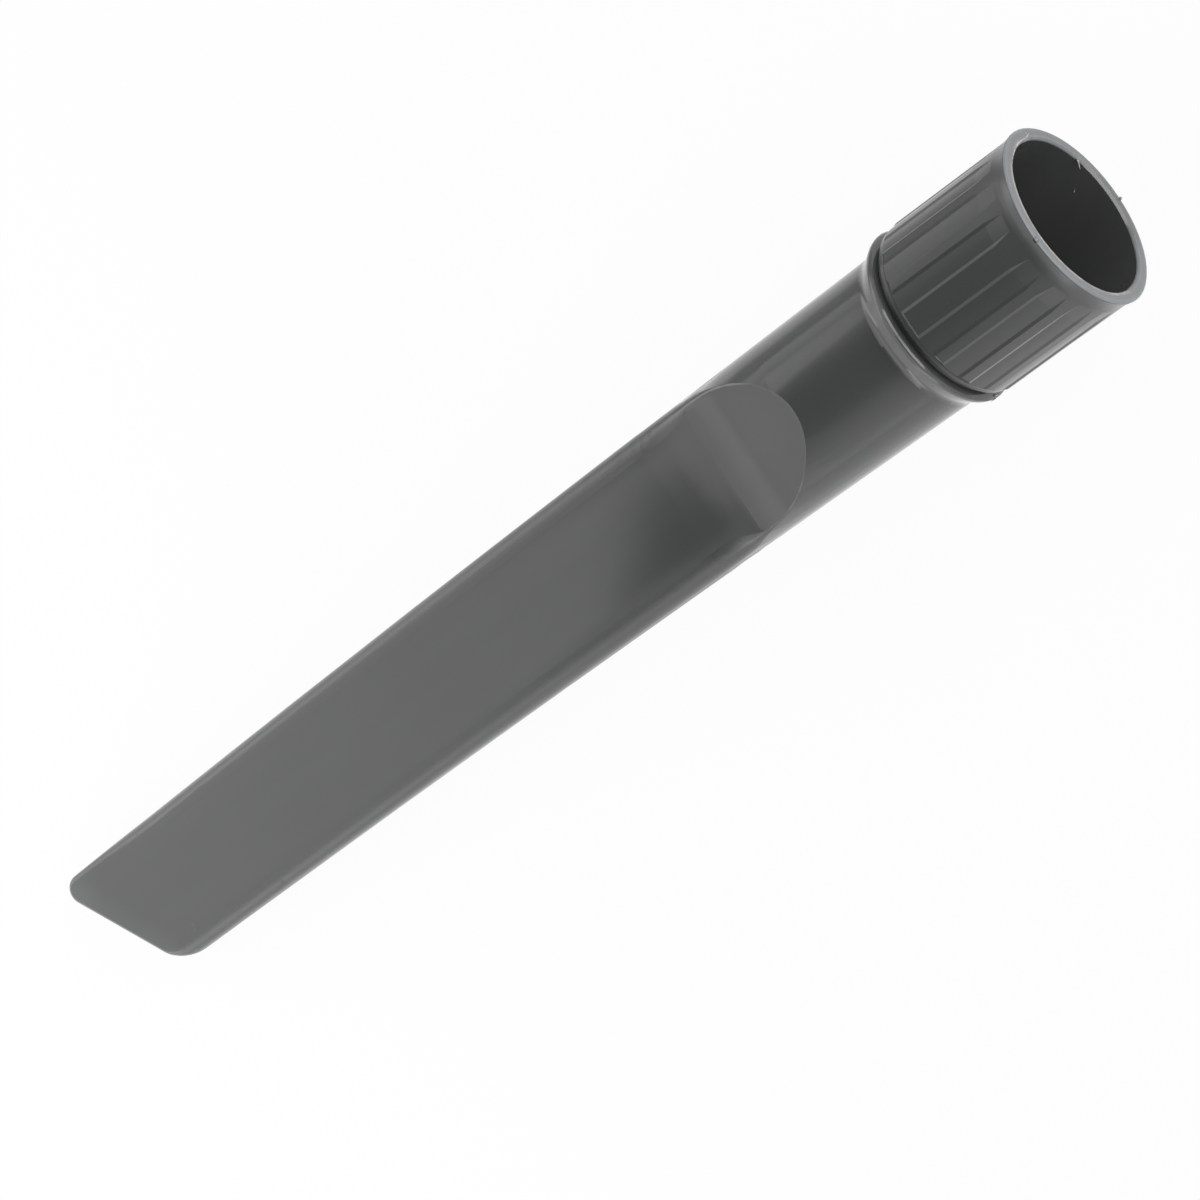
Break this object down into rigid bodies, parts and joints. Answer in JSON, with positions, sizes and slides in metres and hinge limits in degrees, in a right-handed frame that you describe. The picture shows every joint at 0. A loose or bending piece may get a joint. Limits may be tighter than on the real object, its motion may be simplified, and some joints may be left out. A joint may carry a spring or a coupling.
{
  "type": "vacuum crevice tool",
  "caption": "Long flat vacuum nozzle with a round push-fit socket, a fluted grip cuff, scooped shoulders and a slanted open tip.",
  "frame": {"origin": "on the axis of the socket, at the shoulder where the vacuum's tube comes to its stop", "axes": "+X along the socket's axis and out of its mouth, +Z square to the broad faces of the blade"},
  "size_m": [0.2913, 0.0406, 0.0406],
  "materials": {
    "grey_plastic": "dark grey moulded plastic, satin, slightly glossy, with faint flow marks"
  },
  "bodies": {
    "root": {"crevice_tool": "grey_plastic"}
  },
  "joints": []
}
